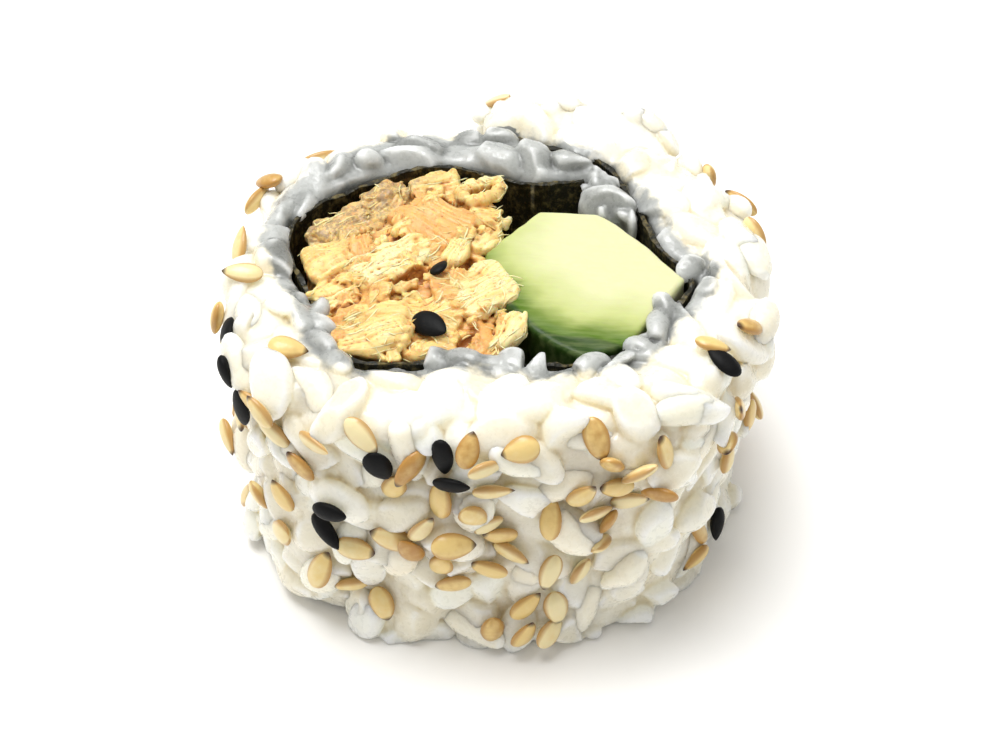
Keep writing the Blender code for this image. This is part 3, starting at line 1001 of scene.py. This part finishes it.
def make_shreds(skin, points, directions, warmth, rng):
    """Fine fibres on the cut face of the salmon, and paler loose ones round its edge."""
    faces = tube_faces(5, 5)
    all_points, all_warmth = [], []
    for index in rng.choice(np.flatnonzero(points[:, 2] > 22.4), SHREDS, replace=False):
        turned = directions[index] + rng.normal(0, 0.14, 3)
        length, width = rng.uniform(0.7, 2.4), rng.uniform(0.10, 0.22)
        all_points.append(shred_points(skin, points[index], turned, length, width, False, rng))
        all_warmth.append(warmth[index] * 0.9 + rng.normal(-0.1, 0.15))
    rim = points[(points[:, 2] > 23.2) & (np.hypot(points[:, 0] + 6.5, (points[:, 1] + 1.5) * 0.9) > 7.2)]
    for start in rim[rng.choice(len(rim), EDGE_SHREDS, replace=False)]:
        outwards = unit(start - (-6.5, -1.5, 23.0)) + rng.normal(0, 0.6, 3)
        length, width = rng.uniform(0.5, 1.5), rng.uniform(0.08, 0.14)
        all_points.append(shred_points(skin, start, outwards, length, width, True, rng))
        all_warmth.append(rng.normal(-0.2, 0.2))
    count, size = len(all_points), len(all_points[0])
    all_faces = np.concatenate([faces + i * size for i in range(count)])
    shreds = new_mesh("salmon_shreds", np.concatenate(all_points), all_faces, shred_material())
    add_values(shreds, "warmth", np.repeat(all_warmth, size))
    finish_piece(shreds, "salmon", "salmon")


# ---------------------------------------------------------------- cucumber and nori


def make_cucumber():
    low, high = (np.array(corner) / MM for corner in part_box("cucumber"))
    plan = grid_axes(low[:2] - 0.8, high[:2] + 0.8, CUCUMBER_STEP)
    flat = signed_distance("cucumber", [plan[0], plan[1], np.array([-1.0, 12.0])])[:, :, 1:]
    ends = np.arange(-0.4, 1.4, CUCUMBER_STEP)
    levels = np.concatenate([ends, np.arange(2.2, 22.0, 1.0), high[2] - ends[::-1]])
    fine = [plan[0], plan[1], levels]
    level = levels[None, None, :]
    x, y = plan[0][:, None, None], plan[1][None, :, None]
    sides = flat - 0.2 + 0.12 * grid_noise(fine, 2.6, 41) + 0.05 * grid_noise(fine, 0.9, 42)
    top = level - high[2] + 0.15 + 0.16 * grid_noise(fine, 5.0, 43) + 0.03 * np.sin((x * 0.5 + y) * 3.4)
    field = smooth_max(sides, top, 0.5)
    field = smooth_max(field, 0.02 - level, 0.3).astype(np.float32)
    points, quads = biggest_part(*skin_of(field, fine))
    cucumber = new_mesh("cucumber_stick", points, quads, cucumber_material())
    from_axis = np.hypot(points[:, 0] - CUCUMBER_AXIS[0], points[:, 1] - CUCUMBER_AXIS[1])
    side_deg = np.degrees(np.arctan2(points[:, 1] - CUCUMBER_AXIS[1], points[:, 0] - CUCUMBER_AXIS[0])) % 360
    pared = 1.6 * smoothstep(-side_deg, -212, -186)
    low_edge = 1.7 * smoothstep(side_deg, 226, 250) * smoothstep(-side_deg, -286, -268)
    add_values(cucumber, "under_skin", CUCUMBER_RADIUS + 0.15 + pared - low_edge - from_axis)
    finish_piece(cucumber, "cucumber", "cucumber")


def displace(piece, name, size, strength, direction="NORMAL"):
    """A soft relief on a carried-over CAD piece, with lumps of that size."""
    lumps = bpy.data.textures.new(name, "CLOUDS")
    lumps.noise_scale = size
    relief = piece.modifiers.new(name, "DISPLACE")
    relief.texture = lumps
    relief.texture_coords = "LOCAL"
    relief.direction = direction
    relief.strength = strength
    relief.mid_level = 0.5


def make_nori():
    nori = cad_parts["nori"]
    nori.data.materials.clear()
    nori.data.materials.append(nori_material())
    weld = nori.modifiers.new("joined", "WELD")
    weld.merge_threshold = 0.002 * MM
    split = nori.modifiers.new("finer", "SUBSURF")
    split.subdivision_type = "SIMPLE"
    split.levels = 2
    split.render_levels = 2
    displace(nori, "crinkle", 1.4 * MM, 0.35 * MM)
    displace(nori, "ragged_edge", 1.1 * MM, 0.5 * MM, "Z")


# ---------------------------------------------------------------- sesame


def seed_form(taper, rings=11, around=14):
    """A seed one unit long, wide and thick: narrow at -x, with a rim and a line down its face."""
    stage = (1 - np.cos(np.linspace(0, math.pi, rings + 2)[1:-1])) / 2
    turn = np.linspace(0, 2 * math.pi, around, endpoint=False)
    widest = (taper / (taper + 0.5)) ** taper * (0.5 / (taper + 0.5)) ** 0.5
    half = stage**taper * (1 - stage) ** 0.5 / widest / 2
    side, face = np.cos(turn), np.sin(turn)
    x = np.repeat(stage[:, None] - 0.5, around, 1)
    y = half[:, None] * side
    z = half[:, None] * np.sign(face) * np.abs(face) ** 1.25
    line = np.exp(-((y / 0.06) ** 2)) * np.sin(math.pi * stage)[:, None]
    z -= np.sign(z) * 0.05 * line
    points = np.stack([x, y, z], -1).reshape(-1, 3)
    points = np.vstack([(-0.5, 0, 0), points, (0.5, 0, 0)])
    rim = np.repeat(smoothstep(np.abs(side), 0.6, 0.92)[None, :], rings, 0)
    seam = np.concatenate([[0.5], np.maximum(0.7 * line, rim).ravel(), [0.5]])
    tip = smoothstep(-points[:, 0], 0.37, 0.46)
    return points, seam, tip


class Sprinkling:
    """Seeds of one kind, laid on surfaces one by one and made into one mesh."""

    def __init__(self, rng):
        self.rng = rng
        self.points, self.tones, self.seams, self.tips = [], [], [], []

    def lay(self, tree, start, towards, turn_deg, taken, tone, size=1.0, sunk=0.2):
        """Lays a seed where a ray meets the surface, on top of any that is there already."""
        hit = tree.ray_cast(Vector(start), Vector(towards).normalized())[0]
        if hit is None:
            return False
        around = tree.find_nearest_range(hit, 1.2)
        places = np.array([tuple(found[0]) for found in around])
        out = unit(np.sum([tuple(found[1]) for found in around], axis=0))
        middle = places.mean(0)
        rise = np.percentile((places - middle) @ out, 85)
        sizes = np.array(SEED_SIZE) * size * self.rng.uniform(0.88, 1.1, 3)
        facing = -out @ unit(np.array(towards))
        if facing < 0.35 or len(places) < 12:
            return False
        reference = (0, 0, 1) if abs(towards[2]) < 0.9 * np.linalg.norm(towards) else (0, 1, 0)
        upright = unit(np.cross(reference, out))
        up = np.cross(out, upright)
        turn = math.radians(turn_deg)
        along = up * math.cos(turn) + upright * math.sin(turn)
        place = middle + out * (rise + sizes[2] * 0.5 - sunk)
        if taken:
            gaps = np.array(taken) - place
            distance = np.linalg.norm(gaps, axis=1)
            nearest = distance.argmin()
            if distance[nearest] < 1.25:
                return False
            if distance[nearest] < 2.6:
                towards_it = unit(gaps[nearest])
                lift = 0.45 * (2.6 - distance[nearest]) / 1.35
                place = place + out * lift
                out = unit(out - 0.35 * towards_it)
        along = unit(along - out * (along @ out))
        across = np.cross(out, along)
        tilt = self.rng.normal(0, 0.18, 2)
        out = unit(out + tilt[0] * along + tilt[1] * across)
        along = unit(along - out * (along @ out))
        across = np.cross(out, along)
        taken.append(tuple(place))
        frame_of = np.stack([-along, -across, out])
        form, seam, tip = seed_form(self.rng.uniform(0.58, 0.85))
        points = (form * sizes) @ frame_of + place
        self.points.append(points + (0, 0, max(0.0, 0.05 - points[:, 2].min())))
        self.tones.append(tone)
        self.seams.append(seam)
        self.tips.append(tip * (self.rng.uniform() < 0.85))
        return True

    def piece(self, name, material, slot):
        count, size = len(self.points), len(self.points[0])
        faces = np.concatenate([tube_faces(11, 14) + i * size for i in range(count)])
        seeds = new_mesh(name, np.concatenate(self.points), faces, material)
        add_values(seeds, "tone", np.repeat(self.tones, size))
        add_values(seeds, "seam", np.concatenate(self.seams))
        add_values(seeds, "tip", np.concatenate(self.tips))
        finish_piece(seeds, slot)


def ray_to(angle, height):
    """A ray that meets the roll at that angle and height, from the side or, at the rim, from above."""
    turn = math.radians(angle)
    out = np.array([math.cos(turn), math.sin(turn), 0.0])
    rim = max(0.0, height - 22.5) / 1.5
    towards = -out - np.array([0, 0, 1.6]) * rim
    surface = out * (21.0 - 1.5 * rim) + np.array([0, 0, height])
    return surface - unit(towards) * 12, towards


def make_seeds(rice_tree, salmon_tree):
    rng = np.random.default_rng(SEED_SEED)
    tan, black = Sprinkling(rng), Sprinkling(rng)
    taken = []
    for angle, height, turn in BLACK_FRONT:
        black.lay(rice_tree, *ray_to(angle, height), turn, taken, 0.5)
    above = Vector((0, 0, -1))
    black.lay(salmon_tree, (-4.3, -3.5, 40), above, 15, taken, 0.2, 0.7, 0.1)
    black.lay(salmon_tree, (-4.8, -9.3, 40), above, 125, taken, 0.5, 1.0, 0.1)

    def tone():
        return float(rng.beta(1.2, 2.0))

    for angle, height in TAN_FRONT:
        turn = rng.uniform(0, 360)
        tan.lay(rice_tree, *ray_to(angle, height), turn, taken, tone())
    while len(tan.points) < 165:
        angle = rng.uniform(-30, 205)
        height = rng.triangular(0.8, 10.0, 23.5)
        for _ in range(rng.integers(1, 6)):
            kind = black if rng.uniform() < 0.09 else tan
            kind.lay(rice_tree, *ray_to(angle, height), rng.uniform(0, 360), taken, tone())
            angle += rng.normal(0, 6.0)
            height = float(np.clip(height + rng.normal(0, 1.8), 0.8, 23.6))
    pale, body, brown = (0.86, 0.74, 0.42), (0.80, 0.59, 0.23), (0.46, 0.23, 0.05)
    tan_finish = sesame_material("tan_sesame", pale, body, brown, (0.04, 0.012, 0.005), 0.3, 0.5)
    dark, darker = (0.010, 0.009, 0.008), (0.004, 0.004, 0.004)
    black_finish = sesame_material("black_sesame", dark, darker, darker, darker, 0.55, 0.14)
    tan.piece("tan_sesame_seeds", tan_finish, "tan_sesame")
    black.piece("black_sesame_seeds", black_finish, "black_sesame")


# ---------------------------------------------------------------- stage


def make_floor():
    n = Nodes("floor")
    material = n.finish(Base_Color=(0.97, 0.965, 0.95), Roughness=0.8)
    corners = [(-FLOOR, -FLOOR, 0), (FLOOR, -FLOOR, 0), (FLOOR, FLOOR, 0), (-FLOOR, FLOOR, 0)]
    floor = new_mesh("floor", corners, [(0, 1, 2, 3)], material)


def area_light(name, place, size, power, colour=(1, 1, 1)):
    lamp = bpy.data.lights.new(name, "AREA")
    lamp.size = size
    lamp.energy = power
    lamp.color = colour
    light = bpy.data.objects.new(name, lamp)
    light.location = place
    light.rotation_euler = (-Vector(place)).to_track_quat("-Z", "Y").to_euler()
    bpy.context.scene.collection.objects.link(light)


def make_light():
    world = bpy.data.worlds.new("studio")
    world.use_nodes = True
    background = world.node_tree.nodes["Background"]
    background.inputs["Color"].default_value = (1, 1, 1, 1)
    background.inputs["Strength"].default_value = 0.48
    bpy.context.scene.world = world
    area_light("key", (-0.10, 0.06, 0.55), 0.36, 3.8)
    bpy.context.scene.view_settings.view_transform = "Standard"


def make_camera():
    elevation, azimuth = math.radians(VIEW_ELEVATION), math.radians(VIEW_AZIMUTH)
    cut_face = Vector((0, 0, 24))
    back = Vector((math.sin(azimuth) * math.cos(elevation), -math.cos(azimuth) * math.cos(elevation), math.sin(elevation)))
    place = cut_face + back * VIEW_DISTANCE
    target = Vector((0, 0, 10.5))
    lens = bpy.data.cameras.new("camera")
    lens.lens = 91
    lens.clip_start = 0.01
    lens.clip_end = 20
    camera = bpy.data.objects.new("camera", lens)
    camera.location = place * MM
    camera.rotation_euler = (target - place).to_track_quat("-Z", "Y").to_euler()
    bpy.context.scene.collection.objects.link(camera)
    bpy.context.scene.camera = camera


rice_tree = make_rice()
salmon_tree = make_salmon()
make_nori()
make_cucumber()
make_seeds(rice_tree, salmon_tree)
make_floor()
make_light()
make_camera()
